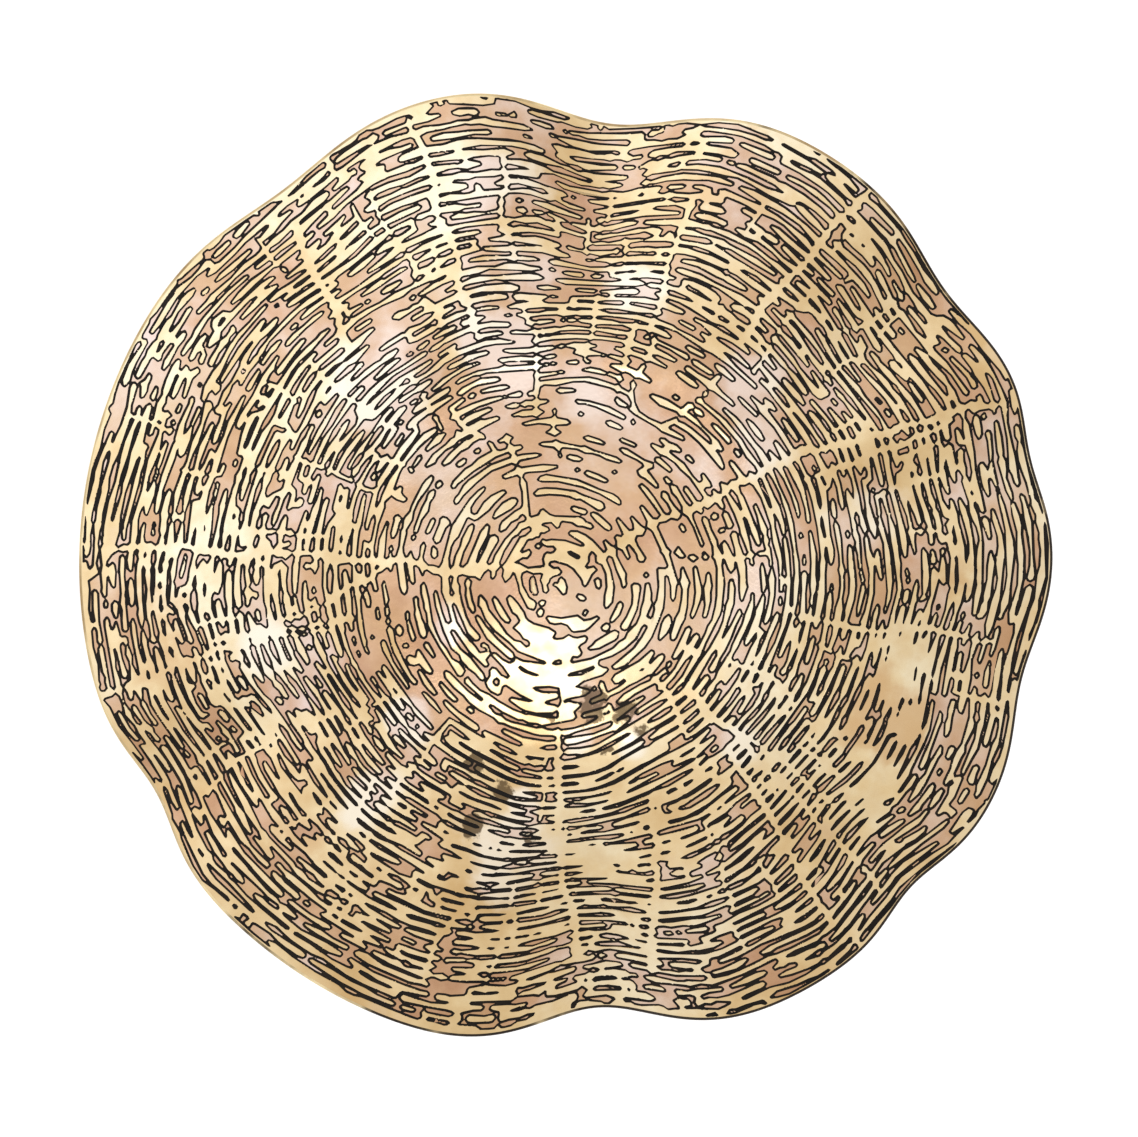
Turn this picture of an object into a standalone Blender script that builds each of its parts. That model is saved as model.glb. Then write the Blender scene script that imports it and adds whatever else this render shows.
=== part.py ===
"""Round brass tray with a wavy, fluted rim.

The tray is one sheet of brass, formed by hand from a flat round blank. It has
a flat floor in the middle, a dished border that rises towards the rim, and
eight flutes where the rim is drawn inwards and upwards. Four round felt pads
under the floor hold the metal off the table.

Units are metres, +Z is up, and the origin is on the table, under the middle
of the tray's outline.
"""
import math

import bmesh
import bpy
from mathutils import Vector

# The blank and its gauge
BLANK_RADIUS = 0.200
SHEET_GAUGE = 0.0015

# The dished form
FLOOR_RADIUS = 0.078
RIM_RISE = 0.038
DISH_POWER = 1.8
SWAY = 0.0015
SWAY_WAVES = 3
SWAY_PHASE = 0.6

# Flutes round the rim: angle in degrees, how far the rim is drawn in, half width in degrees
FLUTES = (
    (13.0, 0.0050, 7.0),
    (36.0, 0.0085, 9.5),
    (84.0, 0.0190, 12.5),
    (127.0, 0.0075, 11.0),
    (209.0, 0.0080, 8.0),
    (274.0, 0.0195, 11.5),
    (317.0, 0.0070, 7.0),
    (346.0, 0.0080, 9.0),
)
FLUTE_START = 0.42
FLUTE_LIFT = 0.75

# Felt pads under the floor
PAD_COUNT = 4
PAD_RADIUS = 0.008
PAD_HEIGHT = 0.0022
PAD_EDGE = 0.0005
PAD_CIRCLE_RADIUS = 0.062
GLUE_GAP = 0.0003

# Heights that follow from the pads and the gauge
UNDERSIDE_HEIGHT = PAD_HEIGHT + GLUE_GAP
FLOOR_HEIGHT = UNDERSIDE_HEIGHT + SHEET_GAUGE

# How finely the round shapes are divided
SECTORS = 120
BORDER_RINGS = 10
PAD_SIDES = 24
SMOOTH_ANGLE = math.radians(35)


def clear_scene():
    """Remove every object that the opened scene holds."""
    for item in list(bpy.data.objects):
        bpy.data.objects.remove(item)


def metal(name, color, roughness):
    """Return a plain metal material."""
    material = bpy.data.materials.new(name)
    material.use_nodes = True
    shader = material.node_tree.nodes["Principled BSDF"]
    shader.inputs["Base Color"].default_value = (*color, 1.0)
    shader.inputs["Metallic"].default_value = 1.0
    shader.inputs["Roughness"].default_value = roughness
    return material


def felt(name, color):
    """Return a plain felt material."""
    material = bpy.data.materials.new(name)
    material.use_nodes = True
    shader = material.node_tree.nodes["Principled BSDF"]
    shader.inputs["Base Color"].default_value = (*color, 1.0)
    shader.inputs["Metallic"].default_value = 0.0
    shader.inputs["Roughness"].default_value = 0.95
    return material


def smoothstep(value):
    """Return 0 below 0, 1 above 1, and a smooth rise between them."""
    value = min(max(value, 0.0), 1.0)
    return value * value * (3.0 - 2.0 * value)


def rim_draw(angle):
    """Return how far the flutes draw the rim in at this angle."""
    draw = 0.0
    for centre, depth, width in FLUTES:
        offset = (math.degrees(angle) - centre + 180.0) % 360.0 - 180.0
        draw += depth * math.exp(-(offset / width) ** 2)
    return draw


def formed_point(share, angle):
    """Return where a point of the blank ends up on the tray's upper face.

    The share is 0 in the middle of the blank and 1 at its edge.
    """
    floor_share = FLOOR_RADIUS / BLANK_RADIUS
    fade = smoothstep((share - FLUTE_START) / (1.0 - FLUTE_START))
    draw = rim_draw(angle) * fade
    dish = max(share - floor_share, 0.0) / (1.0 - floor_share)
    sway = SWAY * fade * math.sin(SWAY_WAVES * angle + SWAY_PHASE)
    radius = share * BLANK_RADIUS - draw
    height = FLOOR_HEIGHT + RIM_RISE * dish ** DISH_POWER + FLUTE_LIFT * draw + sway
    return Vector((radius * math.cos(angle), radius * math.sin(angle), height))


def sector_angles():
    """Return the angles that divide the tray round its axis."""
    return [math.tau * step / SECTORS for step in range(SECTORS)]


def outline_middle():
    """Return the middle of the rim's box, seen from above."""
    rim = [formed_point(1.0, angle) for angle in sector_angles()]
    across = [point.x for point in rim]
    along = [point.y for point in rim]
    return Vector(((min(across) + max(across)) / 2, (min(along) + max(along)) / 2, 0.0))


def place(item, material):
    """Give an object its material and put it in the scene."""
    item.data.materials.append(material)
    bpy.context.scene.collection.objects.link(item)


def make_tray_sheet(material):
    """Form the sheet's upper face ring by ring, then give it its gauge downwards."""
    middle = outline_middle()
    floor_share = FLOOR_RADIUS / BLANK_RADIUS
    shell = bmesh.new()
    rings = []
    for step in range(BORDER_RINGS + 1):
        share = floor_share + (1.0 - floor_share) * step / BORDER_RINGS
        ring = [shell.verts.new(formed_point(share, angle) - middle) for angle in sector_angles()]
        rings.append(ring)
    shell.faces.new(rings[0])
    for inner, outer in zip(rings, rings[1:]):
        for side in range(SECTORS):
            after = (side + 1) % SECTORS
            shell.faces.new((inner[side], outer[side], outer[after], inner[after]))
    mesh = bpy.data.meshes.new("tray_sheet")
    shell.to_mesh(mesh)
    shell.free()
    mesh.shade_smooth()
    sheet = bpy.data.objects.new("tray_sheet", mesh)
    gauge = sheet.modifiers.new("gauge", "SOLIDIFY")
    gauge.thickness = SHEET_GAUGE
    gauge.offset = -1.0
    gauge.use_even_offset = True
    place(sheet, material)


def make_foot_pads(material):
    """Put the felt pads in a circle under the floor, one object each on a shared mesh."""
    disc = bmesh.new()
    bmesh.ops.create_cone(
        disc, cap_ends=True, segments=PAD_SIDES,
        radius1=PAD_RADIUS, radius2=PAD_RADIUS, depth=PAD_HEIGHT)
    top_edges = [edge for edge in disc.edges if all(vert.co.z > 0.0 for vert in edge.verts)]
    bmesh.ops.bevel(disc, geom=top_edges, offset=PAD_EDGE, segments=2, affect="EDGES")
    mesh = bpy.data.meshes.new("foot_pad")
    disc.to_mesh(mesh)
    disc.free()
    mesh.shade_smooth()
    mesh.set_sharp_from_angle(angle=SMOOTH_ANGLE)
    mesh.materials.append(material)
    for number in range(PAD_COUNT):
        angle = math.tau * (number + 0.5) / PAD_COUNT
        pad = bpy.data.objects.new(f"foot_pad_{number + 1}", mesh)
        pad.location = (
            PAD_CIRCLE_RADIUS * math.cos(angle),
            PAD_CIRCLE_RADIUS * math.sin(angle),
            PAD_HEIGHT / 2)
        bpy.context.scene.collection.objects.link(pad)


def main():
    clear_scene()
    make_tray_sheet(metal("brass", (0.78, 0.58, 0.30), 0.28))
    make_foot_pads(felt("felt", (0.045, 0.035, 0.028)))


main()
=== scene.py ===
import math

import bpy
import numpy as np
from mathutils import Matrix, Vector
from mathutils.geometry import delaunay_2d_cdt


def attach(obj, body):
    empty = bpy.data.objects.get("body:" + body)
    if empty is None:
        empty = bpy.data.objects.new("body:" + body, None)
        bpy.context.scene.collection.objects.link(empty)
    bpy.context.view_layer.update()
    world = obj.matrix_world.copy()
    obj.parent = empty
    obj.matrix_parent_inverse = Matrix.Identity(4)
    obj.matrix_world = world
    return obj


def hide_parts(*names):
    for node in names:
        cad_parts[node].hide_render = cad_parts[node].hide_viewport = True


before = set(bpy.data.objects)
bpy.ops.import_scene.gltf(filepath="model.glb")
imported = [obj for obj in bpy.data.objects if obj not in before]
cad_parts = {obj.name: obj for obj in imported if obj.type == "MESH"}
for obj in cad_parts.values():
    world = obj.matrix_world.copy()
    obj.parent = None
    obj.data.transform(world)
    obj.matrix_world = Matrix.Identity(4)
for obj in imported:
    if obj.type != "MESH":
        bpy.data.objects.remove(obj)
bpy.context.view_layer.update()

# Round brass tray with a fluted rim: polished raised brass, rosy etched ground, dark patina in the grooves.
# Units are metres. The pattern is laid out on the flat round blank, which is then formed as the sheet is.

# The sheet's form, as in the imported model
BLANK_RADIUS = 0.200
SHEET_GAUGE = 0.0015
FLOOR_RADIUS = 0.078
FLOOR_HEIGHT = 0.0040
RIM_RISE = 0.038
DISH_POWER = 1.8
SWAY, SWAY_WAVES, SWAY_PHASE = 0.0015, 3, 0.6
SECTORS = 120
# Flutes round the rim: angle in degrees, how far the rim is drawn in, half width in degrees
FLUTES = (
    (13.0, 0.0050, 7.0),
    (36.0, 0.0085, 9.5),
    (84.0, 0.0190, 12.5),
    (127.0, 0.0075, 11.0),
    (209.0, 0.0080, 8.0),
    (274.0, 0.0195, 11.5),
    (317.0, 0.0070, 7.0),
    (346.0, 0.0080, 9.0),
)
FLUTE_START = 0.42
FLUTE_LIFT = 0.75
# How softly the dish starts at the edge of the floor, as a share of the blank's radius
FLOOR_EASE = 0.10

# The flat grid that the pattern is worked out on, and how far its noise reaches
GRID_STEP = 0.00045
GRID_REACH = 0.2034
GRID_ORIGIN = -GRID_REACH
GRID_SIZE = int(round(2 * GRID_REACH / GRID_STEP)) + 1
GRID_POINTS = GRID_SIZE ** 2
NOISE_REACH = 0.23
PATTERN_SEED = 5

# The rings: their centre, their spacing in the middle and outside it, and where the one turns into the other
RING_CENTRE = (-0.0046, -0.0081)
INNER_PITCH, OUTER_PITCH = 0.0026, 0.00192
PITCH_CHANGE_START, PITCH_CHANGE_LENGTH = 0.040, 0.050
SPARE_RINGS = 3
# How clearly the rings alternate, what of that is left in the middle, and the radius of the middle
RING_ORDER, MIDDLE_ORDER, MIDDLE_RADIUS = 0.95, 0.60, 0.045
# Smooth noise that moves the rings out and in, turns them, and bends the rays: height and cell size
SHIFT_NOISE = ((0.0030, 0.070), (0.0016, 0.024), (0.00035, 0.010))
TWIST_NOISE = ((0.0030, 0.060), (0.0010, 0.016))
WOBBLE_NOISE = ((0.0024, 0.018), (0.0012, 0.007))
# Radii round the centre inside which the rings are moved less and turned no further
SHIFT_CORE, TWIST_CORE = 0.015, 0.020
# Values along each ring: spacing, strength, and the share of the chance of a dot, or None for a full set
RING_LAYERS = ((0.0085, 1.0, None), (0.0032, 0.30, None), (0.0026, 1.6, 1.0))
# Values that several rings share: the number of rings, and then the same
WIDE_LAYERS = ((2.5, 0.0024, 1.5, 0.6), (5, 0.012, 0.12, None))
# The fewest values on a ring, the smallest ring, the run from one value to the next, and the weakest dot
LEAST_VALUES, LEAST_RING = 3, 0.001
RUN_STEEPNESS, RUN_START = 1.8, 0.4
DOT_LEAST = 0.6
# The chance of a dot: its scale, its share where the pattern is calm, and what is added where it is busy
DOT_CHANCE, CALM_SHARE, BUSY_SHARE = 0.040, 0.3, 1.9
# How busy the pattern is: its level, its noise, and what is added round the centre
BUSY_LEVEL, BUSY_NOISE, BUSY_CELL = 0.5, 0.9, 0.034
BUSY_MIDDLE, BUSY_CENTRE, BUSY_RADIUS = 0.8, (-0.003, -0.006), 0.028
SLOW_STRENGTH, SLOW_CELL, RAISED_BIAS = 0.04, 0.030, -0.06

# Calm or busy places on the tray: x, y, half width, half height, more raised (+) or more etched (-)
SPOTS = (
    (0.018, 0.057, 0.056, 0.030, -0.66),
    (-0.076, 0.100, 0.020, 0.018, -0.40),
    (0.043, -0.002, 0.018, 0.022, -0.35),
    (-0.076, -0.031, 0.026, 0.020, -0.30),
    (0.143, -0.092, 0.012, 0.014, -0.50),
    (0.018, -0.128, 0.013, 0.007, 1.80),
    (0.143, -0.048, 0.008, 0.022, 2.20),
    (0.130, -0.090, 0.010, 0.014, 1.60),
    (-0.008, -0.043, 0.014, 0.008, 1.00),
    (0.014, -0.130, 0.080, 0.060, 0.22),
    (-0.095, -0.100, 0.055, 0.050, 0.14),
    (0.000, 0.010, 0.060, 0.050, -0.22),
)

# Raised (+) or etched (-) rays that cross the rings: points of the ray, half width, strength
RAYS = (
    (((-0.007, -0.003), (-0.056, -0.001), (-0.121, 0.004), (-0.191, 0.008)), 0.0017, 2.3),
    (((-0.010, 0.010), (-0.027, 0.055)), 0.0014, 2.2),
    (((-0.035, 0.096), (-0.051, 0.137), (-0.064, 0.185)), 0.0017, 2.3),
    (((-0.093, 0.092), (-0.117, 0.146)), 0.0019, 2.4),
    (((0.014, 0.002), (0.051, 0.025), (0.096, 0.047), (0.182, 0.068)), 0.0018, 2.3),
    (((0.072, 0.096), (0.100, 0.127), (0.125, 0.154)), 0.0018, 2.3),
    (((0.002, -0.031), (-0.003, -0.080), (-0.004, -0.120), (0.007, -0.179)), 0.0020, 2.3),
    (((0.037, -0.096), (0.036, -0.179)), 0.0018, 2.3),
    (((0.068, -0.076), (0.109, -0.150)), 0.0016, 2.2),
    (((0.055, -0.055), (0.133, -0.137)), 0.0014, 2.0),
    (((-0.129, -0.072), (-0.113, -0.096)), 0.0016, 2.2),
    (((-0.068, 0.002), (-0.134, -0.031), (-0.195, -0.055)), 0.0014, 1.8),
    (((0.055, 0.158), (0.035, 0.096)), 0.0014, 1.8),
    (((0.096, -0.023), (0.170, -0.031)), 0.0014, 1.8),
    (((-0.002, -0.054), (-0.001, -0.080)), 0.0018, -2.2),
)
# Short raised rays at random: how many, where they start, how long, where they end at the latest, lean
RANDOM_RAYS = (
    (42, (0.040, 0.150), (0.012, 0.050), 0.192, 0.05),
    (34, (0.120, 0.175), (0.010, 0.020), 0.195, 0.0),
)
# How far they stray from an even spacing, as a share of it
RANDOM_TURN = 0.9
RANDOM_HALF_WIDTH = (0.0009, 0.0013)
RANDOM_STRENGTH = (1.4, 2.0)

# How far from 0 the field is held where two strips only just touch, and how far round that reaches
SADDLE_LEAST, SADDLE_REACH = 0.34, 0.0011
# Half the width of the narrowest strips that are kept, and the least area of an island and of a cut
RAISED_NECK, ETCHED_NECK = 0.00034, 0.00016
LEAST_ISLAND, LEAST_CUT = 0.8e-6, 0.10e-6
TINY = 1e-9

# The raised strip along the rim, wider on one side of it: angle and spread of the wide part in degrees
MARGIN, WIDE_MARGIN = 0.0002, 0.0022
WIDE_MARGIN_ANGLE, WIDE_MARGIN_SPREAD = 250, 13
MARGIN_START, MARGIN_SLOPE, MARGIN_LEVEL = -0.001, 2500, 0.3

# The dark line along the outlines: how far it reaches into the etched side, at the thinnest and the
# thickest, where that grows (its level, and the lengths over which it grows below and on the right), how
# uneven it is, and how far it reaches into the raised side
LINE_THIN, LINE_THICK = 0.00070, 0.00086
LINE_LEVEL, LINE_BELOW, LINE_RIGHT = 0.45, 0.50, 0.60
LINE_UNEVEN, LINE_UNEVEN_CELL = 0.00016, 0.007
LINE_OVER = 0.00018
# How far from the outlines the distance to them is worked out
OUTLINE_REACH = LINE_THICK + LINE_UNEVEN + 1.6 * GRID_STEP

# The relief: height of the raised brass, run of its walls, and how far their normals turn up
RELIEF = 0.00022
WALL_RUN = 0.00008
WALL_TILT = 0.35
# The rounded edge of the raised brass: its width, and how far its normals lean out
BEVEL = 0.00028
BEVEL_LEAN = 0.24

# How finely shapes are drawn. Loops with fewer points than SHORT_LOOP are not simplified
NECK_TOLERANCE, OUTLINE_TOLERANCE, CUT_TOLERANCE = 0.00003, 0.00027, 0.00008
SHORT_LOOP = 8
SAMPLE_SPACING = 0.8 * GRID_STEP
RIM_POINTS = 720
EDGE_STEPS = 8
UNDERSIDE_POINTS, UNDERSIDE_RINGS = 360, 64
# The points that fill large faces: spacing, height of a row of them, and clearance from rim and cuts
FILL_SPACING, FILL_ROW_RATIO = 0.0042, 0.866
FILL_FROM_RIM, FILL_FROM_CUT = 0.0015, 0.00030
# How near points are when they are joined, and when they are on the rim
JOIN_DISTANCE, RIM_DISTANCE = 1e-7, 1e-5
# A region is mixed if its share on one side of an outline is this near to a half
MIXED = 0.45
# Twice the area of the smallest face that is kept
SLIVER = 2e-11
SMALL_STEP = 1e-4
UV_WIDTH = 2.06 * BLANK_RADIUS

# Kinds of face
RAISED, LINE, GROUND, OUTSIDE = 0, 1, 2, -1


# The sheet's form
def smooth(value):
    """0 below 0, 1 above 1, and a smooth rise between them."""
    value = np.clip(value, 0.0, 1.0)
    return value * value * (3.0 - 2.0 * value)


def unit_circle(count):
    """Points spread evenly on a circle of radius 1."""
    turn = np.arange(count) * math.tau / count
    return np.stack([np.cos(turn), np.sin(turn)], 1)


def rim_draw(angle):
    """How far the flutes draw the rim in at this angle."""
    degrees = np.degrees(angle)
    draw = np.zeros_like(degrees)
    for centre, depth, width in FLUTES:
        offset = (degrees - centre + 180.0) % 360.0 - 180.0
        draw = draw + depth * np.exp(-(offset / width) ** 2)
    return draw


def eased(value):
    """The value where it is well above 0, and a soft run down to 0 below that."""
    return 0.5 * (value + np.sqrt(value ** 2 + FLOOR_EASE ** 2))


def formed_raw(u, v):
    """Where points of the blank end up on the tray's upper face, before the tray is centred."""
    share = np.hypot(u, v) / BLANK_RADIUS
    angle = np.arctan2(v, u)
    floor_share = FLOOR_RADIUS / BLANK_RADIUS
    fade = smooth((share - FLUTE_START) / (1.0 - FLUTE_START))
    draw = rim_draw(angle) * fade
    dish = eased(share - floor_share) / eased(1.0 - floor_share)
    sway = SWAY * fade * np.sin(SWAY_WAVES * angle + SWAY_PHASE)
    radius = share * BLANK_RADIUS - draw
    height = FLOOR_HEIGHT + RIM_RISE * dish ** DISH_POWER + FLUTE_LIFT * draw + sway
    return np.stack([radius * np.cos(angle), radius * np.sin(angle), height], axis=-1)


def outline_middle():
    """The middle of the rim's box, seen from above."""
    across, along, _ = formed_raw(*(BLANK_RADIUS * unit_circle(SECTORS)).T).T
    return np.array([(across.min() + across.max()) / 2, (along.min() + along.max()) / 2, 0.0])


MIDDLE = outline_middle()


def unit(vectors):
    """The vectors at length 1."""
    return vectors / np.maximum(np.linalg.norm(vectors, axis=1, keepdims=True), 1e-12)


def formed(flat, lift=0.0):
    """Place flat points on the formed sheet, lifted off its upper face along the face's normal."""
    u, v = flat[:, 0], flat[:, 1]
    along_u = formed_raw(u + SMALL_STEP, v) - formed_raw(u - SMALL_STEP, v)
    along_v = formed_raw(u, v + SMALL_STEP) - formed_raw(u, v - SMALL_STEP)
    normal = unit(np.cross(along_u, along_v))
    return formed_raw(u, v) - MIDDLE + normal * lift, normal


def to_surface(flat, direction):
    """Turn flat directions at flat points into directions along the formed sheet."""
    ahead = flat + direction * SMALL_STEP
    return unit(formed_raw(ahead[:, 0], ahead[:, 1]) - formed_raw(flat[:, 0], flat[:, 1]))


# The pattern's field
def patches(rng, u, v, cell):
    """Smooth noise between -1 and 1 with this cell size."""
    count = int(2 * NOISE_REACH / cell) + 4
    table = rng.uniform(-1, 1, (count, count))
    a, b = (u + NOISE_REACH) / cell, (v + NOISE_REACH) / cell
    i = np.clip(np.floor(a).astype(int), 0, count - 2)
    j = np.clip(np.floor(b).astype(int), 0, count - 2)
    fa, fb = smooth(a - i), smooth(b - j)
    low = table[j, i] * (1 - fa) + table[j, i + 1] * fa
    high = table[j + 1, i] * (1 - fa) + table[j + 1, i + 1] * fa
    return low * (1 - fb) + high * fb


def layered(rng, u, v, layers):
    """Smooth noise in several cell sizes, added up."""
    return sum(height * patches(rng, u, v, cell) for height, cell in layers)


def ring_rows():
    """Distances from the rings' centre, and how many rings lie within each of them."""
    along = np.linspace(0.0, NOISE_REACH, 1000)
    inner = 1 - smooth((along - PITCH_CHANGE_START) / PITCH_CHANGE_LENGTH)
    pitch = OUTER_PITCH + (INNER_PITCH - OUTER_PITCH) * inner
    steps = (along[1] - along[0]) / ((pitch[1:] + pitch[:-1]) / 2)
    return along, np.concatenate([[0.0], np.cumsum(steps)])


ALONG, ROWS_ALONG = ring_rows()
RING_COUNT = int(ROWS_ALONG[-1]) + SPARE_RINGS


def ring_values(rng, row, angle, rows, rings, spacing, chance=None):
    """Random values that change in short runs between nodes along the rings.

    The nodes lie spacing apart, in rows that stand for so many rings each. With a chance, only that share
    of the nodes has a value, and it is never small. Returns the values on the rows below and above each
    point, and how far the point is from the one to the other.
    """
    row = row / rings
    radius = np.interp(np.arange(rows) * rings, ROWS_ALONG, ALONG)
    nodes = np.round(math.tau * np.maximum(radius, LEAST_RING) / spacing).astype(int)
    nodes = np.maximum(LEAST_VALUES, nodes)
    table = rng.uniform(-1, 1, (rows, int(nodes.max())))
    if chance is not None:
        drawn = rng.random(table.shape)
        table = np.sign(table) * (DOT_LEAST + (1 - DOT_LEAST) * np.abs(table))
    turn = rng.uniform(0, 1, rows)
    below = np.clip(np.floor(row).astype(int), 0, rows - 2)

    def value(ring):
        count = nodes[ring]
        place = (angle / math.tau + turn[ring]) % 1.0 * count
        node = np.floor(place).astype(int)
        part = np.clip((place - node) * RUN_STEEPNESS - RUN_START, 0.0, 1.0)
        first, second = table[ring, node % count], table[ring, (node + 1) % count]
        if chance is not None:
            first = np.where(drawn[ring, node % count] < chance, first, 0.0)
            second = np.where(drawn[ring, (node + 1) % count] < chance, second, 0.0)
        return first + (second - first) * part

    return value(below), value(below + 1), row - below


def ring_field(rng, u, v):
    """The rings, broken and joined at random, before the spots and the rays."""
    inward = 1.0 - np.clip(np.hypot(u, v) / BLANK_RADIUS, 0.0, 1.0)
    du, dv = u - RING_CENTRE[0] * inward, v - RING_CENTRE[1] * inward
    shift = layered(rng, u, v, SHIFT_NOISE)
    twist = layered(rng, u, v, TWIST_NOISE)
    middle = np.exp(-((u - BUSY_CENTRE[0]) ** 2 + (v - BUSY_CENTRE[1]) ** 2) / BUSY_RADIUS ** 2)
    busy = smooth(BUSY_LEVEL + BUSY_NOISE * patches(rng, u, v, BUSY_CELL) + BUSY_MIDDLE * middle)
    slow = patches(rng, u, v, SLOW_CELL)
    radius = np.hypot(du, dv)
    radius = np.maximum(radius + shift * smooth(radius / SHIFT_CORE), 0.0)
    angle = (np.arctan2(dv, du) + twist / np.maximum(radius, TWIST_CORE)) % math.tau
    row = np.interp(radius, ALONG, ROWS_ALONG)
    chance = DOT_CHANCE * (CALM_SHARE + BUSY_SHARE * busy)

    below = np.clip(np.floor(row).astype(int), 0, RING_COUNT - 2)
    sign = np.where(below % 2 == 0, 1.0, -1.0)
    order = RING_ORDER * (MIDDLE_ORDER + (1 - MIDDLE_ORDER) * smooth(radius / MIDDLE_RADIUS))
    low, high = order * sign, -order * sign
    for spacing, strength, share in RING_LAYERS:
        drawn = None if share is None else chance * share
        one, other, part = ring_values(rng, row, angle, RING_COUNT, 1, spacing, drawn)
        low, high = low + strength * one, high + strength * other
    field = low + (high - low) * part
    for rings, spacing, strength, share in WIDE_LAYERS:
        drawn = None if share is None else chance * share
        rows = int(RING_COUNT / rings) + SPARE_RINGS
        low, high, part = ring_values(rng, row, angle, rows, rings, spacing, drawn)
        field = field + strength * (low + (high - low) * part)
    return field + SLOW_STRENGTH * slow + RAISED_BIAS


def random_rays(rng, count, starts, lengths, last, lean):
    """Short raised rays at random round the tray, in the form of RAYS."""
    rays = []
    for number in range(count):
        turn = math.tau * (number + rng.uniform(-RANDOM_TURN, RANDOM_TURN)) / count
        start = rng.uniform(*starts)
        stop = min(start + rng.uniform(*lengths), last)
        end = turn + rng.uniform(-lean, lean) if lean else turn
        points = ((start * math.cos(turn), start * math.sin(turn)),
                  (stop * math.cos(end), stop * math.sin(end)))
        rays.append((points, rng.uniform(*RANDOM_HALF_WIDTH), rng.uniform(*RANDOM_STRENGTH)))
    return tuple(rays)


def ray_share(u, v, points, half_width, wobble):
    """1 on the ray's middle line, down to 0 at its half width."""
    best = np.zeros_like(u)
    for (x0, y0), (x1, y1) in zip(points, points[1:]):
        length = math.hypot(x1 - x0, y1 - y0)
        ax, ay = (x1 - x0) / length, (y1 - y0) / length
        ahead = (u - x0) * ax + (v - y0) * ay
        aside = (v - y0) * ax - (u - x0) * ay + wobble
        past = np.maximum(0.0, np.maximum(-ahead, ahead - length))
        best = np.maximum(best, np.clip(1.0 - np.hypot(aside, past) / half_width, 0.0, 1.0))
    return best


def part_saddles(field):
    """Lift or lower the field where two strips only just touch, so that they join or part clearly."""
    ring = ((-1, -1), (-1, 0), (-1, 1), (0, 1), (1, 1), (1, 0), (1, -1), (0, -1))
    core = field[1:-1, 1:-1]
    above = [field[1 + di:GRID_SIZE - 1 + di, 1 + dj:GRID_SIZE - 1 + dj] > core for di, dj in ring]
    turns = sum((one != two).astype(int) for one, two in zip(above, above[1:] + above[:1]))
    i, j = np.nonzero((turns >= 4) & (np.abs(core) < SADDLE_LEAST))
    i, j = i + 1, j + 1
    value = field[i, j]
    lift, lower = np.zeros_like(field), np.zeros_like(field)
    span = int(round(2 * SADDLE_REACH / GRID_STEP))
    for di in range(-span, span + 1):
        for dj in range(-span, span + 1):
            fade = math.exp(-(di * di + dj * dj) * (GRID_STEP / SADDLE_REACH) ** 2)
            near = (i + di >= 0) & (i + di < GRID_SIZE) & (j + dj >= 0) & (j + dj < GRID_SIZE)
            up, down = near & (value >= 0), near & (value < 0)
            np.maximum.at(lift, (i[up] + di, j[up] + dj), (SADDLE_LEAST - value[up]) * fade)
            np.maximum.at(lower, (i[down] + di, j[down] + dj), (SADDLE_LEAST + value[down]) * fade)
    return field + lift - lower


def pattern_field(u, v):
    """Positive where the brass stays raised, negative where it is etched."""
    rng = np.random.default_rng(PATTERN_SEED)
    field = ring_field(rng, u, v)
    for x, y, wide_x, wide_y, amount in SPOTS:
        field = field + amount * np.exp(-((u - x) / wide_x) ** 2 - ((v - y) / wide_y) ** 2)
    wobble = layered(rng, u, v, WOBBLE_NOISE)
    rays = RAYS + sum((random_rays(rng, *group) for group in RANDOM_RAYS), ())
    for points, half_width, strength in rays:
        field = field + strength * ray_share(u, v, points, half_width, wobble)
    return part_saddles(field)


def line_width(u, v):
    """How far the dark line reaches into the etched ground: more below and on the right."""
    low = np.clip(LINE_LEVEL - v / LINE_BELOW + np.maximum(u, 0.0) / LINE_RIGHT, 0.0, 1.0)
    uneven = patches(np.random.default_rng(PATTERN_SEED), u, v, LINE_UNEVEN_CELL)
    return LINE_THIN + (LINE_THICK - LINE_THIN) * low + LINE_UNEVEN * uneven


# Outlines on the grid
def crossings(field):
    """The cell sides where the field changes sign, along the rows and down the columns.

    Also returns the points where they are crossed, in a table of the rows' sides and then the columns'.
    """
    above = field > 0
    across = above[:, 1:] != above[:, :-1]
    down = above[1:, :] != above[:-1, :]
    points = np.zeros((2 * GRID_POINTS, 2))
    i, j = np.nonzero(across)
    part = field[i, j] / (field[i, j] - field[i, j + 1])
    points[i * GRID_SIZE + j] = GRID_ORIGIN + np.stack([j + part, i], 1) * GRID_STEP
    i, j = np.nonzero(down)
    part = field[i, j] / (field[i, j] - field[i + 1, j])
    points[GRID_POINTS + i * GRID_SIZE + j] = GRID_ORIGIN + np.stack([j, i + part], 1) * GRID_STEP
    return across, down, points


def cell_links(field, across, down):
    """Pairs of crossed sides that an outline joins through a cell."""
    sides = np.stack([across[:-1, :], across[1:, :], down[:, :-1], down[:, 1:]], -1)
    count = sides.sum(-1)

    def side_ids(i, j):
        here = i * GRID_SIZE + j
        return np.stack([here, here + GRID_SIZE, GRID_POINTS + here, GRID_POINTS + here + 1], 1)

    i, j = np.nonzero(count == 2)
    links = [side_ids(i, j)[sides[i, j]].reshape(-1, 2)]
    i, j = np.nonzero(count == 4)
    ids = side_ids(i, j)
    middle = (field[i, j] + field[i, j + 1] + field[i + 1, j] + field[i + 1, j + 1]) > 0
    same = (middle == (field[i, j] > 0))[:, None]
    links.append(np.where(same, ids[:, [0, 3]], ids[:, [0, 2]]))
    links.append(np.where(same, ids[:, [1, 2]], ids[:, [1, 3]]))
    return np.concatenate(links)


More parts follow.
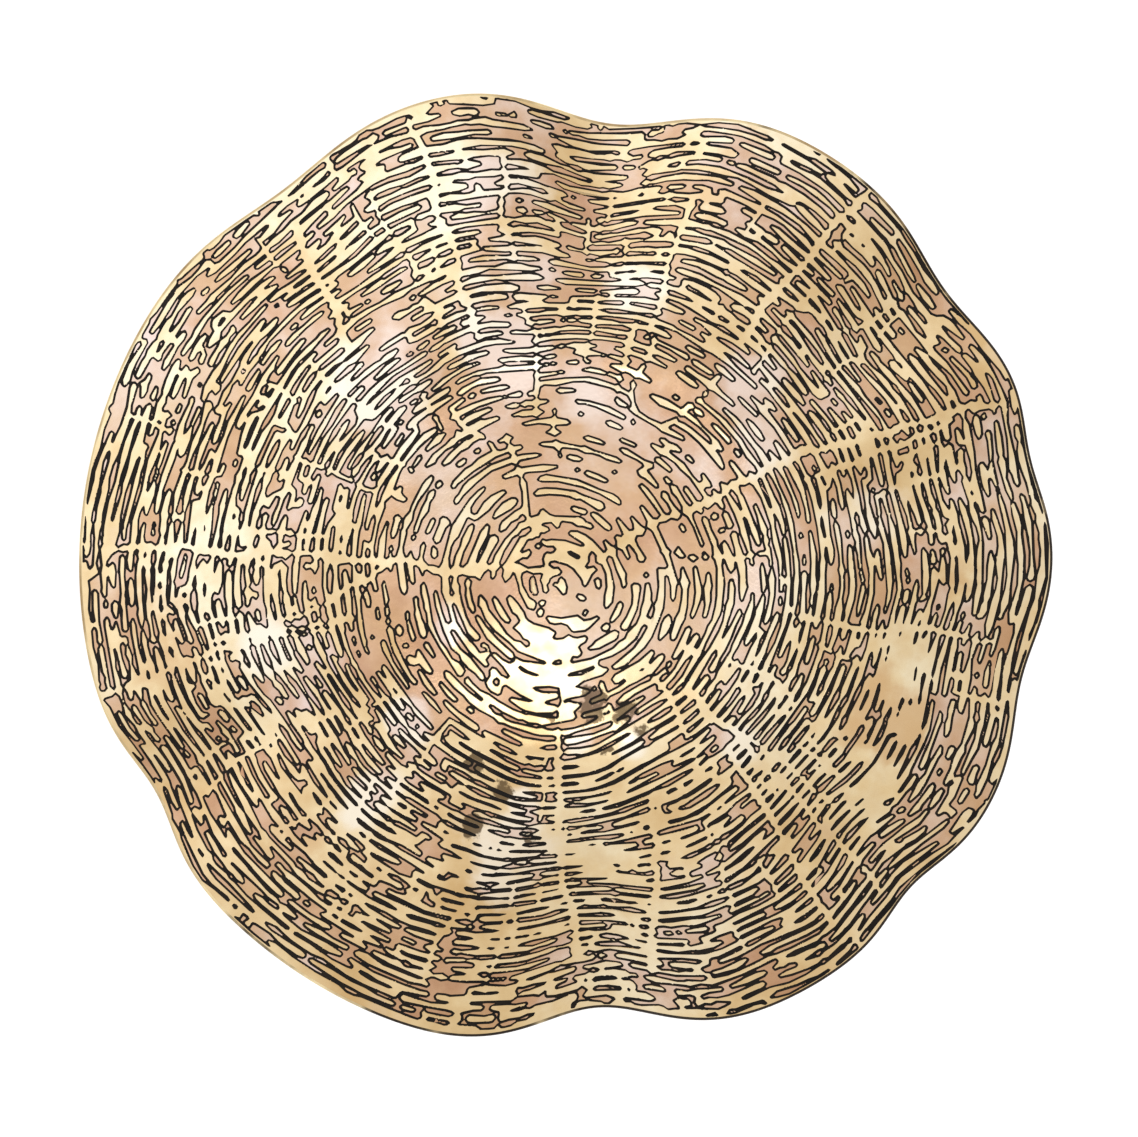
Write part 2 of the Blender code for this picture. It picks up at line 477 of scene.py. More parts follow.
def trace(field):
    """Closed outlines of the field's zero level."""
    across, down, points = crossings(field)
    links = cell_links(field, across, down)
    both = np.concatenate([links, links[:, ::-1]])
    both = both[np.argsort(both[:, 0], kind="stable")]
    first = np.ones(len(both), bool)
    first[1:] = both[1:, 0] != both[:-1, 0]
    near = np.full((len(points), 2), -1, np.int64)
    near[both[first, 0], 0] = both[first, 1]
    near[both[~first, 0], 1] = both[~first, 1]
    near = near.tolist()
    used = bytearray(len(points))
    loops = []
    for start in both[first, 0].tolist():
        if used[start]:
            continue
        used[start] = 1
        chain = [start]
        before, now = start, near[start][0]
        while now != start and now >= 0:
            chain.append(now)
            used[now] = 1
            one, other = near[now]
            before, now = now, (other if one == before else one)
        loops.append(points[np.array(chain)])
    return loops


def simplify(loop, tolerance):
    """Keep the points of a closed loop that stand off its chords by more than the tolerance."""
    count = len(loop)
    if count < SHORT_LOOP:
        return loop
    far = int(np.hypot(*(loop - loop[0]).T).argmax())
    keep = np.zeros(count + 1, bool)
    keep[[0, far, count]] = True
    points = np.concatenate([loop, loop[:1]])
    stack = [(0, far), (far, count)]
    while stack:
        a, b = stack.pop()
        if b - a < 2:
            continue
        chord = points[b] - points[a]
        length = math.hypot(*chord)
        rest = points[a + 1:b] - points[a]
        if length > TINY:
            off = np.abs(rest[:, 0] * chord[1] - rest[:, 1] * chord[0]) / length
        else:
            off = np.hypot(rest[:, 0], rest[:, 1])
        best = int(off.argmax())
        if off[best] > tolerance:
            best += a + 1
            keep[best] = True
            stack += [(a, best), (best, b)]
    return points[:-1][keep[:-1]]


def simplified(loops, tolerance):
    """The simplified loops that still enclose something."""
    loops = [simplify(loop, tolerance) for loop in loops]
    return [loop for loop in loops if len(loop) >= 3]


def area(loop):
    """The area inside the loop."""
    x, y = loop.T
    return 0.5 * abs(float(np.sum(x * np.roll(y, -1) - y * np.roll(x, -1))))


def distance_grid(loops, reach):
    """Distance from each grid point to the nearest outline, no more than reach."""
    start = np.concatenate(loops)
    side = np.concatenate([np.roll(loop, -1, 0) for loop in loops]) - start
    pieces = np.maximum(1, np.ceil(np.hypot(*side.T) / SAMPLE_SPACING)).astype(int)
    which = np.repeat(np.arange(len(start)), pieces)
    number = np.arange(len(which)) - (np.cumsum(pieces) - pieces)[which]
    sample = start[which] + side[which] * ((number + 0.5) / pieces[which])[:, None]
    column = np.round((sample[:, 0] - GRID_ORIGIN) / GRID_STEP).astype(int)
    row = np.round((sample[:, 1] - GRID_ORIGIN) / GRID_STEP).astype(int)
    begin, chord = start[which], side[which]
    square = np.maximum((chord ** 2).sum(1), 1e-18)
    result = np.full(GRID_POINTS, reach)
    span = int(math.ceil(reach / GRID_STEP)) + 1
    for di in range(-span, span + 1):
        for dj in range(-span, span + 1):
            i, j = row + di, column + dj
            x = GRID_ORIGIN + j * GRID_STEP - begin[:, 0]
            y = GRID_ORIGIN + i * GRID_STEP - begin[:, 1]
            part = np.clip((x * chord[:, 0] + y * chord[:, 1]) / square, 0.0, 1.0)
            far = np.hypot(x - part * chord[:, 0], y - part * chord[:, 1])
            good = (i >= 0) & (i < GRID_SIZE) & (j >= 0) & (j < GRID_SIZE) & (far < reach)
            np.minimum.at(result, (i * GRID_SIZE + j)[good], far[good])
    return result.reshape(GRID_SIZE, GRID_SIZE)


def grid_value(grid, points):
    """Values of the grid at these points, straight between its nodes."""
    x, y = (points[:, 0] - GRID_ORIGIN) / GRID_STEP, (points[:, 1] - GRID_ORIGIN) / GRID_STEP
    j = np.clip(np.floor(x).astype(int), 0, GRID_SIZE - 2)
    i = np.clip(np.floor(y).astype(int), 0, GRID_SIZE - 2)
    x, y = x - j, y - i
    low = grid[i, j] * (1 - x) + grid[i, j + 1] * x
    high = grid[i + 1, j] * (1 - x) + grid[i + 1, j + 1] * x
    return low * (1 - y) + high * y


def signed_distance(field, reach):
    """Distance to the field's zero level, negative where the field is, and no more than reach."""
    loops = [simplify(loop, NECK_TOLERANCE) for loop in trace(field)]
    return distance_grid(loops, reach) * np.sign(field)


def no_zeros(field):
    """The field with its zeros turned positive, so that no outline runs through a grid point."""
    field[field == 0] = TINY
    return field


def closed(field):
    """The field without zeros and positive all round the grid's border."""
    no_zeros(field)
    field[[0, -1], :] = 1.0
    field[:, [0, -1]] = 1.0
    return field


def widen_necks(field):
    """Drop etched strips, then raised strips, that are too narrow to be cut in metal."""
    spare = 2 * GRID_STEP
    etched = no_zeros(signed_distance(-field, ETCHED_NECK + spare) - ETCHED_NECK)
    etched = signed_distance(etched, ETCHED_NECK + RAISED_NECK + spare) + ETCHED_NECK
    raised = closed(-etched - RAISED_NECK)
    return closed(signed_distance(raised, RAISED_NECK + spare) + RAISED_NECK)


def inside(loop, x, y):
    """Whether the point is inside the closed loop."""
    here, after = loop, np.roll(loop, -1, 0)
    spans = (here[:, 1] > y) != (after[:, 1] > y)
    here, after = here[spans], after[spans]
    share = (y - here[:, 1]) * (after[:, 0] - here[:, 0]) / (after[:, 1] - here[:, 1])
    return bool(np.sum(here[:, 0] + share > x) % 2)


def drop_islands(field):
    """Turn over the field inside the smallest outlines, and return the other outlines."""
    kept = []
    for loop in trace(field):
        if area(loop) > LEAST_ISLAND:
            kept.append(loop)
            continue
        first = np.floor((loop.min(0) - GRID_ORIGIN) / GRID_STEP).astype(int)
        last = np.ceil((loop.max(0) - GRID_ORIGIN) / GRID_STEP).astype(int)
        for i in range(first[1], last[1] + 1):
            for j in range(first[0], last[0] + 1):
                if inside(loop, GRID_ORIGIN + j * GRID_STEP, GRID_ORIGIN + i * GRID_STEP):
                    field[i, j] = -field[i, j]
    return kept


# The cut blank
def triangle_sides(faces):
    """Directed sides of the triangles."""
    return np.concatenate([faces[:, [0, 1]], faces[:, [1, 2]], faces[:, [2, 0]]])


def side_keys(sides, total):
    """One number for each side, whichever way it runs."""
    sides = np.sort(sides, 1)
    return sides[:, 0] * total + sides[:, 1]


def region_labels(edge_faces, count):
    """Number the connected regions of faces that share an edge which is no outline."""
    label = np.arange(count)
    a, b = edge_faces[:, 0], edge_faces[:, 1]
    while True:
        least = np.minimum(label[a], label[b])
        new = label.copy()
        for face in (a, b, label[a], label[b]):
            np.minimum.at(new, face, least)
        new = new[new]
        new = new[new]
        if np.array_equal(new, label):
            return label
        label = new


def region_side(label, weight, own):
    """For each face whether its region is on this side, or the face itself where the region is mixed."""
    count = len(label)
    own = own.astype(float)
    total = np.maximum(np.bincount(label, weights=weight, minlength=count), 1e-30)
    share = (np.bincount(label, weights=weight * own, minlength=count) / total)[label]
    return np.where(np.abs(share - 0.5) < MIXED, own, share) > 0.5


def fill_points(gap):
    """Points in staggered rows over the blank, clear of its rim and of the cuts."""
    points = [(x + (FILL_SPACING / 2 if k % 2 else 0), y)
              for k, y in enumerate(np.arange(-BLANK_RADIUS, BLANK_RADIUS, FILL_SPACING * FILL_ROW_RATIO))
              for x in np.arange(-BLANK_RADIUS, BLANK_RADIUS, FILL_SPACING)]
    points = np.array(points)
    points = points[np.hypot(points[:, 0], points[:, 1]) < BLANK_RADIUS - FILL_FROM_RIM]
    return points[grid_value(gap, points) > FILL_FROM_CUT]


def cut_blank(loops, fill):
    """Cut the blank into triangles along the loops.

    Returns its points, its triangles, and the numbers of the regions that the loops part.
    """
    points, edges = [], []
    for loop in loops + [BLANK_RADIUS * unit_circle(RIM_POINTS)]:
        base, count = len(points), len(loop)
        points.extend(loop.tolist())
        edges.extend((base + k, base + (k + 1) % count) for k in range(count))
    points.extend(fill.tolist())
    verts, edges, faces, _, sources, _ = delaunay_2d_cdt(
        [Vector(point) for point in points], edges, [], 0, JOIN_DISTANCE, True)
    verts = np.array([tuple(vert) for vert in verts])
    faces = np.array(list(faces), dtype=np.int64)
    total, count = len(verts), len(faces)
    on_loop = np.array([len(source) > 0 for source in sources])
    cut_keys = np.sort(side_keys(np.array([tuple(edge) for edge in edges], dtype=np.int64), total)[on_loop])

    owner = np.tile(np.arange(count), 3)
    keys = side_keys(triangle_sides(faces), total)
    order = np.argsort(keys, kind="stable")
    keys = keys[order]
    twin = np.nonzero(keys[1:] == keys[:-1])[0]
    pair = np.stack([owner[order[twin]], owner[order[twin + 1]]], 1)
    place = np.clip(np.searchsorted(cut_keys, keys[twin]), 0, len(cut_keys) - 1)
    return verts, faces, region_labels(pair[cut_keys[place] != keys[twin]], count)


def etch_pattern():
    """Cut the flat blank into raised, line and ground triangles."""
    axis = GRID_ORIGIN + np.arange(GRID_SIZE) * GRID_STEP
    u, v = np.meshgrid(axis, axis)
    turn = (np.degrees(np.arctan2(v, u)) % 360 - WIDE_MARGIN_ANGLE) / WIDE_MARGIN_SPREAD
    margin = MARGIN + WIDE_MARGIN * np.exp(-turn ** 2)
    edge = (np.hypot(u, v) / BLANK_RADIUS - 1) * BLANK_RADIUS + margin
    field = pattern_field(u, v)
    rim_field = np.maximum(field, edge * MARGIN_SLOPE + MARGIN_LEVEL)
    field = widen_necks(closed(np.where(edge > MARGIN_START, rim_field, field)))
    outlines = simplified(drop_islands(field), OUTLINE_TOLERANCE)
    signed = distance_grid(outlines, OUTLINE_REACH) * np.sign(field)
    width = line_width(u, v)
    band = no_zeros(np.abs(signed + 0.5 * (width - LINE_OVER)) - 0.5 * (width + LINE_OVER))
    bevel = signed - LINE_OVER - BEVEL
    loops = [loop for loop in trace(band) + trace(bevel) if area(loop) > LEAST_CUT]
    loops = simplified(loops, CUT_TOLERANCE)
    fill = fill_points(np.minimum(np.abs(band), np.abs(bevel)))

    verts, faces, label = cut_blank(loops, fill)
    a, b, c = verts[faces[:, 0]], verts[faces[:, 1]], verts[faces[:, 2]]
    twice = (b[:, 0] - a[:, 0]) * (c[:, 1] - a[:, 1]) - (b[:, 1] - a[:, 1]) * (c[:, 0] - a[:, 0])
    faces = np.where((twice < 0)[:, None], faces[:, ::-1], faces)
    weight = np.abs(twice)
    centre = (a + b + c) / 3
    in_line = region_side(label, weight, grid_value(band, centre) < 0)
    in_raised = region_side(label, weight, grid_value(field, centre) > 0)
    kind = np.where(in_line, LINE, np.where(in_raised, RAISED, GROUND))
    kind[np.hypot(centre[:, 0], centre[:, 1]) > BLANK_RADIUS * math.cos(math.pi / RIM_POINTS)] = OUTSIDE
    return verts, faces, kind, weight > SLIVER


# Meshes
def new_piece(name, positions, faces, normals, flat, material):
    """Make a piece that stands for the tray sheet, with UVs from its flat points if they are given."""
    mesh = bpy.data.meshes.new(name)
    mesh.from_pydata(positions.tolist(), [], faces)
    mesh.update()
    mesh.shade_smooth()
    if flat is not None:
        layer = mesh.uv_layers.new(name="OFBake")
        index = np.empty(len(mesh.loops), dtype=np.int64)
        mesh.loops.foreach_get("vertex_index", index)
        layer.data.foreach_set("uv", (flat[index] / UV_WIDTH + 0.5).astype(np.float32).ravel())
    mesh.materials.append(material)
    mesh.normals_split_custom_set_from_vertices(normals.tolist())
    item = bpy.data.objects.new(name, mesh)
    bpy.context.scene.collection.objects.link(item)
    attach(item, "root")
    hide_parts("tray_sheet")


def compact(verts, faces):
    """The vertices that the faces use, and the faces numbered to match."""
    used, index = np.unique(faces, return_inverse=True)
    return verts[used], index.reshape(faces.shape)


def boundary_sides(faces):
    """Directed sides that only one of these faces has."""
    sides = triangle_sides(faces)
    _, index, count = np.unique(
        side_keys(sides, int(faces.max()) + 1), return_index=True, return_counts=True)
    return sides[index[count == 1]]


def outward_flat(points, sides):
    """Mean outward direction, in the flat, at the points of these directed boundary sides."""
    along = points[sides[:, 1]] - points[sides[:, 0]]
    out = unit(np.stack([along[:, 1], -along[:, 0]], 1))
    result = np.zeros_like(points)
    np.add.at(result, sides[:, 0], out)
    np.add.at(result, sides[:, 1], out)
    return unit(result)


def make_raised(verts, faces, solid, material):
    """Make the raised brass, and return its flat points, its etched boundary and the way out of it."""
    flat, tris = compact(verts, faces)
    place, normal = formed(flat)
    sides = boundary_sides(tris)
    reach = np.hypot(*flat[sides[:, 0]].T) + np.hypot(*flat[sides[:, 1]].T)
    inner = sides[reach <= 2 * BLANK_RADIUS - RIM_DISTANCE]
    out = outward_flat(flat, inner)
    at_edge = np.zeros(len(flat), bool)
    at_edge[inner.ravel()] = True
    lean = np.zeros_like(normal)
    lean[at_edge] = to_surface(flat[at_edge], out[at_edge])
    new_piece("raised_brass", place, tris[solid].tolist(), unit(normal + BEVEL_LEAN * lean), flat, material)
    return flat, inner, out


def make_lines(verts, faces, flat, inner, out, material):
    """Make the walls down from the raised brass, and the dark lines at their foot."""
    used, index = np.unique(inner, return_inverse=True)
    index = index.reshape(inner.shape)
    top, out = flat[used], out[used]
    low = top + out * WALL_RUN
    top_place, top_normal = formed(top)
    low_place, _ = formed(low, -RELIEF)
    wall_normal = unit(to_surface(top, out) + WALL_TILT * top_normal)
    count = len(used)
    walls = np.concatenate([
        np.stack([index[:, 0], index[:, 0] + count, index[:, 1] + count], 1),
        np.stack([index[:, 0], index[:, 1] + count, index[:, 1]], 1)])
    line_flat, tris = compact(verts, faces)
    line_place, line_normal = formed(line_flat, -RELIEF)
    new_piece(
        "patina_lines",
        np.concatenate([top_place, low_place, line_place]),
        np.concatenate([walls, tris + 2 * count]).tolist(),
        np.concatenate([wall_normal, wall_normal, line_normal]),
        np.concatenate([top, low, line_flat]),
        material)


def make_top(raised, lines, ground):
    """Make the sheet's upper face from its etched pattern, in these materials."""
    verts, faces, kind, solid = etch_pattern()
    flat, inner, out = make_raised(verts, faces[kind == RAISED], solid[kind == RAISED], raised)
    make_lines(verts, faces[(kind == LINE) & solid], flat, inner, out, lines)
    flat, tris = compact(verts, faces[(kind == GROUND) & solid])
    place, normal = formed(flat, -RELIEF)
    new_piece("etched_ground", place, tris.tolist(), normal, flat, ground)


def make_rim_edge(material):
    """Round the edge of the sheet over, from its upper face to its underside."""
    flat = BLANK_RADIUS * unit_circle(RIM_POINTS)
    place, normal = formed(flat)
    out = to_surface(flat, flat / BLANK_RADIUS)
    radius = SHEET_GAUGE / 2
    centre = place - normal * radius
    bends = [math.pi * step / EDGE_STEPS for step in range(EDGE_STEPS + 1)]
    normals = np.concatenate([normal * math.cos(bend) + out * math.sin(bend) for bend in bends])
    positions = np.concatenate([centre] * len(bends)) + normals * radius
    faces = []
    for step in range(EDGE_STEPS):
        a, b = step * RIM_POINTS, (step + 1) * RIM_POINTS
        for k in range(RIM_POINTS):
            after = (k + 1) % RIM_POINTS
            faces.append((a + k, b + k, b + after, a + after))
    new_piece("rim_edge", positions, faces, normals, None, material)


def make_underside(material):
    """Make the plain underside of the sheet, ring by ring."""
    count, rings = UNDERSIDE_POINTS, UNDERSIDE_RINGS
    circle = unit_circle(count)
    shares = np.linspace(0.0, 1.0, rings + 1)[1:]
    flat = np.concatenate([[(1e-6, 0.0)]] + [share * BLANK_RADIUS * circle for share in shares])
    place, normal = formed(flat, -SHEET_GAUGE)
    faces = [(0, 1 + (k + 1) % count, 1 + k) for k in range(count)]
    for ring in range(rings - 1):
        a, b = 1 + ring * count, 1 + (ring + 1) * count
        for k in range(count):
            after = (k + 1) % count
            faces.append((a + k, a + after, b + after, b + k))
    new_piece("underside", place, faces, -normal, flat, material)


# Materials
# Places where light and shade are painted into the metal's colour: x, y, radius
# Painted dark reflections: dark brown patches round and below the highlight, standing in for reflections of
# dark things overhead
PAINTED_DARK_REFLECTIONS = (
    (0.012, -0.058, 0.014), (0.024, -0.062, 0.012), (0.031, -0.068, 0.008), (0.046, -0.055, 0.007),
    (-0.006, -0.064, 0.007), (0.017, -0.077, 0.008), (-0.022, -0.072, 0.006), (-0.038, -0.083, 0.009),
    (-0.026, -0.094, 0.008), (-0.040, -0.109, 0.009), (-0.015, -0.115, 0.007),
)
# Painted highlights: pale creamy patches standing in for bright reflections
PAINTED_HIGHLIGHTS = (
    (-0.075, 0.073, 0.040), (-0.024, 0.121, 0.030), (-0.024, -0.121, 0.036), (0.076, 0.073, 0.030),
    (0.126, 0.024, 0.036), (0.080, 0.050, 0.026), (-0.020, 0.085, 0.026), (-0.084, -0.098, 0.024),
    (-0.066, -0.064, 0.018), (-0.127, -0.036, 0.020), (0.005, -0.073, 0.013), (0.027, -0.077, 0.011),
    (-0.018, -0.100, 0.013), (-0.022, 0.170, 0.048), (-0.030, 0.100, 0.030), (-0.022, 0.168, 0.034),
    (-0.022, 0.130, 0.028), (0.030, 0.118, 0.024), (0.014, 0.068, 0.024), (-0.047, -0.027, 0.016),
    (0.072, -0.075, 0.014),
)
# Painted shade: darker tan patches standing in for dimmer reflections
PAINTED_SHADE_PATCHES = (
    (0.080, 0.165, 0.056), (0.062, 0.178, 0.034), (0.104, 0.146, 0.036), (-0.178, -0.028, 0.044),
    (0.170, -0.010, 0.030), (0.137, -0.066, 0.040), (0.178, -0.050, 0.030), (0.140, -0.100, 0.030),
    (-0.120, -0.120, 0.036), (0.010, 0.150, 0.024),
)
# Height of those places, and the share of their radius that is coloured in full
SPOT_HEIGHT, SPOT_CORE = 0.008, 0.2
# How the painted highlights, painted shade and painted dark reflections colour the metal: places, tone,
# amount, scale of the noise that breaks them up, and the levels where the tone starts and where it is full
RAISED_TONES = (
    (PAINTED_HIGHLIGHTS, (0.95, 0.86, 0.70), 0.78, 40.0, 0.30, 0.95),
    (PAINTED_SHADE_PATCHES, (0.68, 0.44, 0.22), 0.74, 40.0, 0.30, 0.90),
    (PAINTED_DARK_REFLECTIONS, (0.11, 0.068, 0.031), 0.90, 150.0, 0.48, 0.72),
)
# The same painted highlights, painted shade and painted dark reflections on the etched ground
GROUND_TONES = (
    (PAINTED_HIGHLIGHTS, (0.84, 0.69, 0.58), 0.78, 40.0, 0.30, 1.00),
    (PAINTED_SHADE_PATCHES, (0.54, 0.32, 0.19), 0.62, 40.0, 0.30, 0.90),
    (PAINTED_DARK_REFLECTIONS, (0.13, 0.080, 0.044), 0.86, 150.0, 0.48, 0.72),
)


def new_material(name):
    """A node material, its tree and its shader."""
    material = bpy.data.materials.new(name)
    material.use_nodes = True
    return material, material.node_tree, material.node_tree.nodes["Principled BSDF"]


def connect(tree, node, inputs):
    """Link each input of the node to a socket, or set its value. A colour may leave out its alpha."""
    for key, value in inputs.items():
        socket = node.inputs[key]
        if isinstance(value, bpy.types.NodeSocket):
            tree.links.new(value, socket)
        elif socket.type == "RGBA":
            socket.default_value = (*value[:3], 1.0)
        else:
            socket.default_value = value


def add(tree, kind, inputs=None, **props):
    """Add a shader node with these properties and inputs."""
    node = tree.nodes.new("ShaderNode" + kind)
    for key, value in props.items():
        setattr(node, key, value)
    connect(tree, node, inputs or {})
    return node


def noise(tree, place, scale, detail=3.0, roughness=0.55):
    """Noise about 0.5 at this scale."""
    inputs = {"Vector": place, "Scale": scale, "Detail": detail, "Roughness": roughness}
    return add(tree, "TexNoise", inputs).outputs["Fac"]


def math_node(tree, operation, first, second):
    """Two values put together."""
    return add(tree, "Math", {0: first, 1: second}, operation=operation).outputs["Value"]


def ramp(tree, value, stops):
    """A colour that runs between these stops."""
    node = add(tree, "ValToRGB", {"Fac": value})
    elements = node.color_ramp.elements
    while len(elements) > 1:
        elements.remove(elements[-1])
    elements[0].position, elements[0].color = stops[0][0], (*stops[0][1], 1.0)
    for position, color in stops[1:]:
        elements.new(position).color = (*color, 1.0)
    return node.outputs["Color"]


def mix(tree, factor, first, second):
    """The first colour, mixed with the second by the factor."""
    return add(tree, "Mix", {0: factor, 6: first, 7: second}, data_type="RGBA").outputs[2]


def spread(tree, value, low, high):
    """Noise spread over the range from low to high."""
    inputs = {"Value": value, "From Min": 0.3, "From Max": 0.7, "To Min": low, "To Max": high}
    return add(tree, "MapRange", inputs).outputs["Result"]


def smooth_rise(tree, value, start, end, top=1.0):
    """0 at the start, the top at the end, and a smooth rise between them."""
    inputs = {"Value": value, "From Min": start, "From Max": end, "To Max": top}
    return add(tree, "MapRange", inputs, interpolation_type="SMOOTHSTEP").outputs["Result"]


def bumped(tree, height, strength, distance, normal=None):
    """A normal tilted by the height, on top of another bump if one is given."""
    inputs = {"Height": height, "Strength": strength, "Distance": distance}
    if normal is not None:
        inputs["Normal"] = normal
    return add(tree, "Bump", inputs).outputs["Normal"]


def toned(tree, place, color, tones):
    """The colour, mixed with each tone of painted light in its places."""
    for spots, tone, amount, broken, none, full in tones:
        total = None
        for x, y, radius in spots:
            away = add(tree, "VectorMath", {0: place, 1: (x, y, SPOT_HEIGHT)}, operation="DISTANCE")
            spot = smooth_rise(tree, away.outputs["Value"], radius, radius * SPOT_CORE)
            total = spot if total is None else math_node(tree, "MAXIMUM", total, spot)
        patchy = spread(tree, noise(tree, place, broken, 4.0), -0.5, 0.5)
        total = math_node(tree, "ADD", total, patchy)
        color = mix(tree, smooth_rise(tree, total, none, full, amount), color, tone)
    return color


def raised_material():
    """Polished brass, in lighter and browner patches, with painted highlights, painted shade and painted
    dark reflections in places.
    """
    material, tree, shader = new_material("raised_brass")
    place = add(tree, "TexCoord").outputs["Object"]
    color = ramp(tree, noise(tree, place, 17.0, 5.0, 0.6), (
        (0.34, (0.66, 0.445, 0.205)), (0.50, (0.86, 0.675, 0.39)), (0.66, (0.94, 0.83, 0.59))))
    fine = spread(tree, noise(tree, place, 160.0, 4.0), 0.0, 0.30)
    connect(tree, shader, {
        "Base Color": toned(tree, place, mix(tree, fine, color, (0.66, 0.43, 0.20)), RAISED_TONES),
        "Roughness": spread(tree, noise(tree, place, 60.0), 0.07, 0.13),
        "Metallic": 1.0,
        "Normal": bumped(tree, noise(tree, place, 38.0, 2.0), 0.18, 0.0012)})
    return material


def ground_material():
    """Etched brass, rosier and duller than the raised brass, with the same painted highlights, painted shade
    and painted dark reflections.
    """
    material, tree, shader = new_material("etched_ground")
    place = add(tree, "TexCoord").outputs["Object"]
    mottle = noise(tree, place, 70.0, 4.0)
    color = ramp(tree, noise(tree, place, 19.0, 5.0, 0.6), (
        (0.34, (0.44, 0.22, 0.13)), (0.48, (0.66, 0.41, 0.27)), (0.64, (0.88, 0.74, 0.66))))
    color = mix(tree, spread(tree, noise(tree, place, 27.0, 4.0), 0.0, 0.75), color, (0.66, 0.44, 0.22))
    color = mix(tree, spread(tree, mottle, 0.0, 0.30), color, (0.50, 0.28, 0.15))
    connect(tree, shader, {
        "Base Color": toned(tree, place, color, GROUND_TONES),
        "Roughness": spread(tree, mottle, 0.13, 0.26),
        "Metallic": 1.0,
        "Normal": bumped(tree, noise(tree, place, 700.0), 0.25, 0.0002)})
    return material


def line_material():
    """Dull, nearly black patina."""
    material, tree, shader = new_material("groove_patina")
    place = add(tree, "TexCoord").outputs["Object"]
    color = ramp(tree, noise(tree, place, 90.0), (
        (0.35, (0.006, 0.0045, 0.0035)), (0.65, (0.016, 0.011, 0.007))))
    connect(tree, shader, {
        "Base Color": color, "Roughness": 0.75, "Metallic": 0.0, "Specular IOR Level": 0.2})
    return material


def edge_material():
    """Worn brass, with painted shade that blackens it on the right and below."""
    material, tree, shader = new_material("rim_edge_brass")
    place = add(tree, "TexCoord").outputs["Object"]
    brass = ramp(tree, noise(tree, place, 40.0, 4.0), (
        (0.35, (0.42, 0.29, 0.14)), (0.60, (0.80, 0.64, 0.36))))
    # Painted shade: the edge darkens to near black towards the right and below
    side = add(tree, "VectorMath", {0: place, 1: (4.2, -2.9, 0.0)}, operation="DOT_PRODUCT")
    patchy = spread(tree, noise(tree, place, 30.0, 4.0), -0.55, 0.55)
    painted_edge_shade = smooth_rise(tree, math_node(tree, "ADD", side.outputs["Value"], patchy), -0.15, 0.35)
    connect(tree, shader, {
        "Base Color": mix(tree, painted_edge_shade, brass, (0.030, 0.022, 0.015)),
        "Roughness": spread(tree, noise(tree, place, 120.0), 0.25, 0.45),
        "Metallic": 0.85})
    return material


def underside_material():
    """Duller brass with faint spun rings, dark blotches and soft dents."""
    material, tree, shader = new_material("underside_brass")
    place = add(tree, "TexCoord").outputs["Object"]
    color = ramp(tree, noise(tree, place, 9.0, 4.0), (
        (0.32, (0.30, 0.17, 0.075)), (0.50, (0.53, 0.35, 0.16)), (0.68, (0.68, 0.49, 0.25))))
    level = add(tree, "VectorMath", {0: place, 1: (1.0, 1.0, 0.0)}, operation="MULTIPLY")
    away = add(tree, "VectorMath", {0: level.outputs["Vector"]}, operation="LENGTH")
    rings = add(tree, "TexNoise", {"W": away.outputs["Value"], "Scale": 420.0, "Detail": 3.0},
                noise_dimensions="1D").outputs["Fac"]
    color = mix(tree, spread(tree, rings, 0.0, 0.28), color, (0.36, 0.21, 0.09))
    blotch = spread(tree, noise(tree, place, 26.0, 6.0, 0.65), -0.60, 0.75)
    spun = bumped(tree, rings, 0.12, 0.0004)
    connect(tree, shader, {
        "Base Color": mix(tree, blotch, color, (0.27, 0.15, 0.085)),
        "Roughness": spread(tree, noise(tree, place, 50.0, 4.0), 0.26, 0.46),
        "Metallic": 1.0,
        "Normal": bumped(tree, noise(tree, place, 55.0, 2.0), 0.35, 0.0012, spun)})
    return material


def felt_material():
    """Dark brown felt with a fine nap."""
    material, tree, shader = new_material("felt")
    place = add(tree, "TexCoord").outputs["Object"]
    color = ramp(tree, noise(tree, place, 900.0, 4.0), (
        (0.3, (0.020, 0.015, 0.012)), (0.7, (0.075, 0.058, 0.046))))
    connect(tree, shader, {
        "Base Color": color,
        "Roughness": 0.95,
        "Normal": bumped(tree, noise(tree, place, 2500.0, 2.0), 0.5, 0.0003)})
    return material


# Stage
FLOOR_SIDE = 12.0
# The way in which the surround is brightest, and its colours from the dimmest to the brightest
BRIGHT_WAY = (0.62, -0.60, 0.50)
SURROUND = (
    (0.0, (0.86, 0.82, 0.77)),
    (0.70, (1.09, 1.11, 1.17)),
    (0.90, (1.15, 1.17, 1.24)),
    (1.0, (1.32, 1.38, 1.50)),
)
GLOW_PLACE, GLOW_SIZE, GLOW_POWER = (-0.024, -0.083, 1.7), 0.074, 0.046
CAMERA_PLACE, SENSOR_WIDTH = (0.00144, -0.00144, 2.4), 36.0
# Width of the view, at the height of the rim
VIEW_WIDTH, VIEW_HEIGHT = 0.468533, 0.045


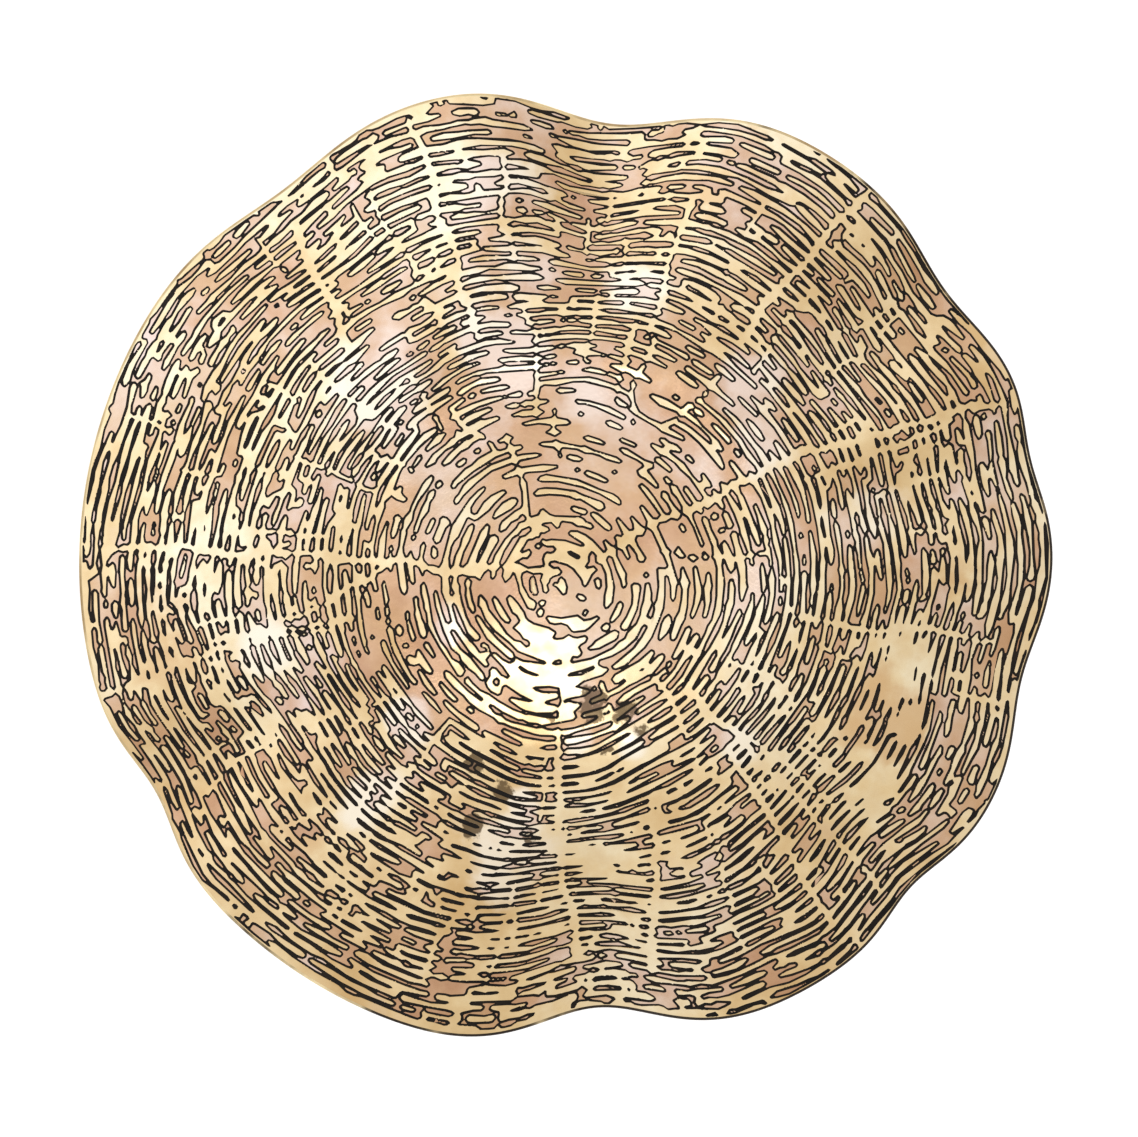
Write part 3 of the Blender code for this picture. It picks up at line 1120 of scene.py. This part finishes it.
def make_world():
    """An even pale surround, brighter towards the lower right of the view and dimmer at the upper left."""
    world = bpy.data.worlds.new("studio")
    bpy.context.scene.world = world
    world.use_nodes = True
    tree = world.node_tree
    way = add(tree, "TexCoord").outputs["Generated"]
    dot = add(tree, "VectorMath", {0: way, 1: BRIGHT_WAY}, operation="DOT_PRODUCT")
    level = smooth_rise(tree, dot.outputs["Value"], -0.35, 0.95)
    connect(tree, tree.nodes["Background"], {"Strength": 1.0, "Color": ramp(tree, level, SURROUND)})


def make_glow():
    """A small round light overhead, which the tray mirrors as its highlight."""
    light = bpy.data.lights.new("glow", "AREA")
    light.shape = "DISK"
    light.size = GLOW_SIZE
    light.energy = GLOW_POWER
    item = bpy.data.objects.new("glow", light)
    item.location = GLOW_PLACE
    item.visible_camera = False
    bpy.context.scene.collection.objects.link(item)


def make_floor():
    """A plain pale floor."""
    half = FLOOR_SIDE / 2
    corners = [(-half, -half, 0), (half, -half, 0), (half, half, 0), (-half, half, 0)]
    mesh = bpy.data.meshes.new("floor")
    mesh.from_pydata(corners, [], [(0, 1, 2, 3)])
    floor = bpy.data.objects.new("floor", mesh)
    material, tree, shader = new_material("pale_floor")
    connect(tree, shader, {
        "Base Color": (0.52, 0.52, 0.52),
        "Emission Color": (1.0, 1.0, 1.0),
        "Emission Strength": 0.72,
        "Roughness": 0.9})
    mesh.materials.append(material)
    bpy.context.scene.collection.objects.link(floor)


def make_camera():
    """A camera straight above the tray."""
    camera = bpy.data.cameras.new("camera")
    camera.sensor_width = SENSOR_WIDTH
    camera.lens = SENSOR_WIDTH * (CAMERA_PLACE[2] - VIEW_HEIGHT) / VIEW_WIDTH
    item = bpy.data.objects.new("camera", camera)
    item.location = CAMERA_PLACE
    bpy.context.scene.collection.objects.link(item)
    bpy.context.scene.camera = item
    bpy.context.scene.view_settings.view_transform = "Standard"


def main():
    make_top(raised_material(), line_material(), ground_material())
    make_rim_edge(edge_material())
    make_underside(underside_material())
    felt = felt_material()
    for number in range(1, 5):
        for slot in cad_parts[f"foot_pad_{number}"].material_slots:
            slot.link = "OBJECT"
            slot.material = felt
    make_floor()
    make_world()
    make_glow()
    make_camera()


main()
